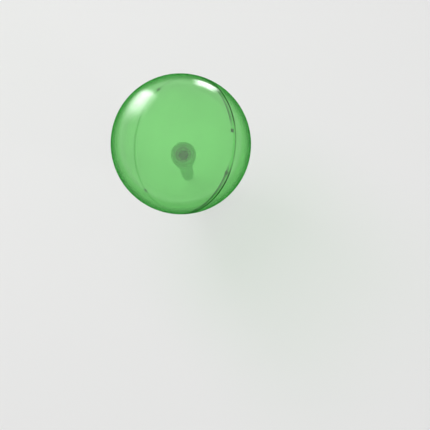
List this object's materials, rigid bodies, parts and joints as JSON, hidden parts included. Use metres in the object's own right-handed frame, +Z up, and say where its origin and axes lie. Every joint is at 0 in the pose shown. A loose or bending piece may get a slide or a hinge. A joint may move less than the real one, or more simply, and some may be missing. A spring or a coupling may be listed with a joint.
{
  "type": "watering globe",
  "caption": "Hollow see-through ball of two half shells on a tubular stem with a slotted point, which feeds water to a plant pot's soil; the ball lifts off its socket to be filled.",
  "frame": {"origin": "on the stem's axis at the soil line, where the tube leaves the underside of its socket", "axes": "+Z up along the stem to the ball's top, +X towards the side where the ball's seam runs high, +Y to the left of someone who faces +X"},
  "size_m": [0.085, 0.085, 0.2492],
  "materials": {
    "upper_shell": "clear green, polished",
    "lower_shell": "clear green, polished",
    "neck": "clear green, polished",
    "seal": "satin black rubber",
    "socket": "solid green, satin",
    "stem": "solid green, satin",
    "tip": "solid green, satin"
  },
  "bodies": {
    "stem": {"neck_socket": "socket", "stem_tube": "stem", "drip_tip": "tip"},
    "seal": {"neck_seal": "seal"},
    "globe": {"upper_shell": "upper_shell", "lower_shell": "lower_shell", "neck": "neck"}
  },
  "joints": [
    {"name": "globe_lift", "type": "slide", "parent": "stem", "child": "seal", "axis": [0, 0, 1], "range_m": [0, 0.03]},
    {"name": "globe_turn", "type": "hinge", "parent": "seal", "child": "globe", "pos_m": [0, 0, 0.018], "axis": [0, 0, 1], "continuous": true}
  ]
}
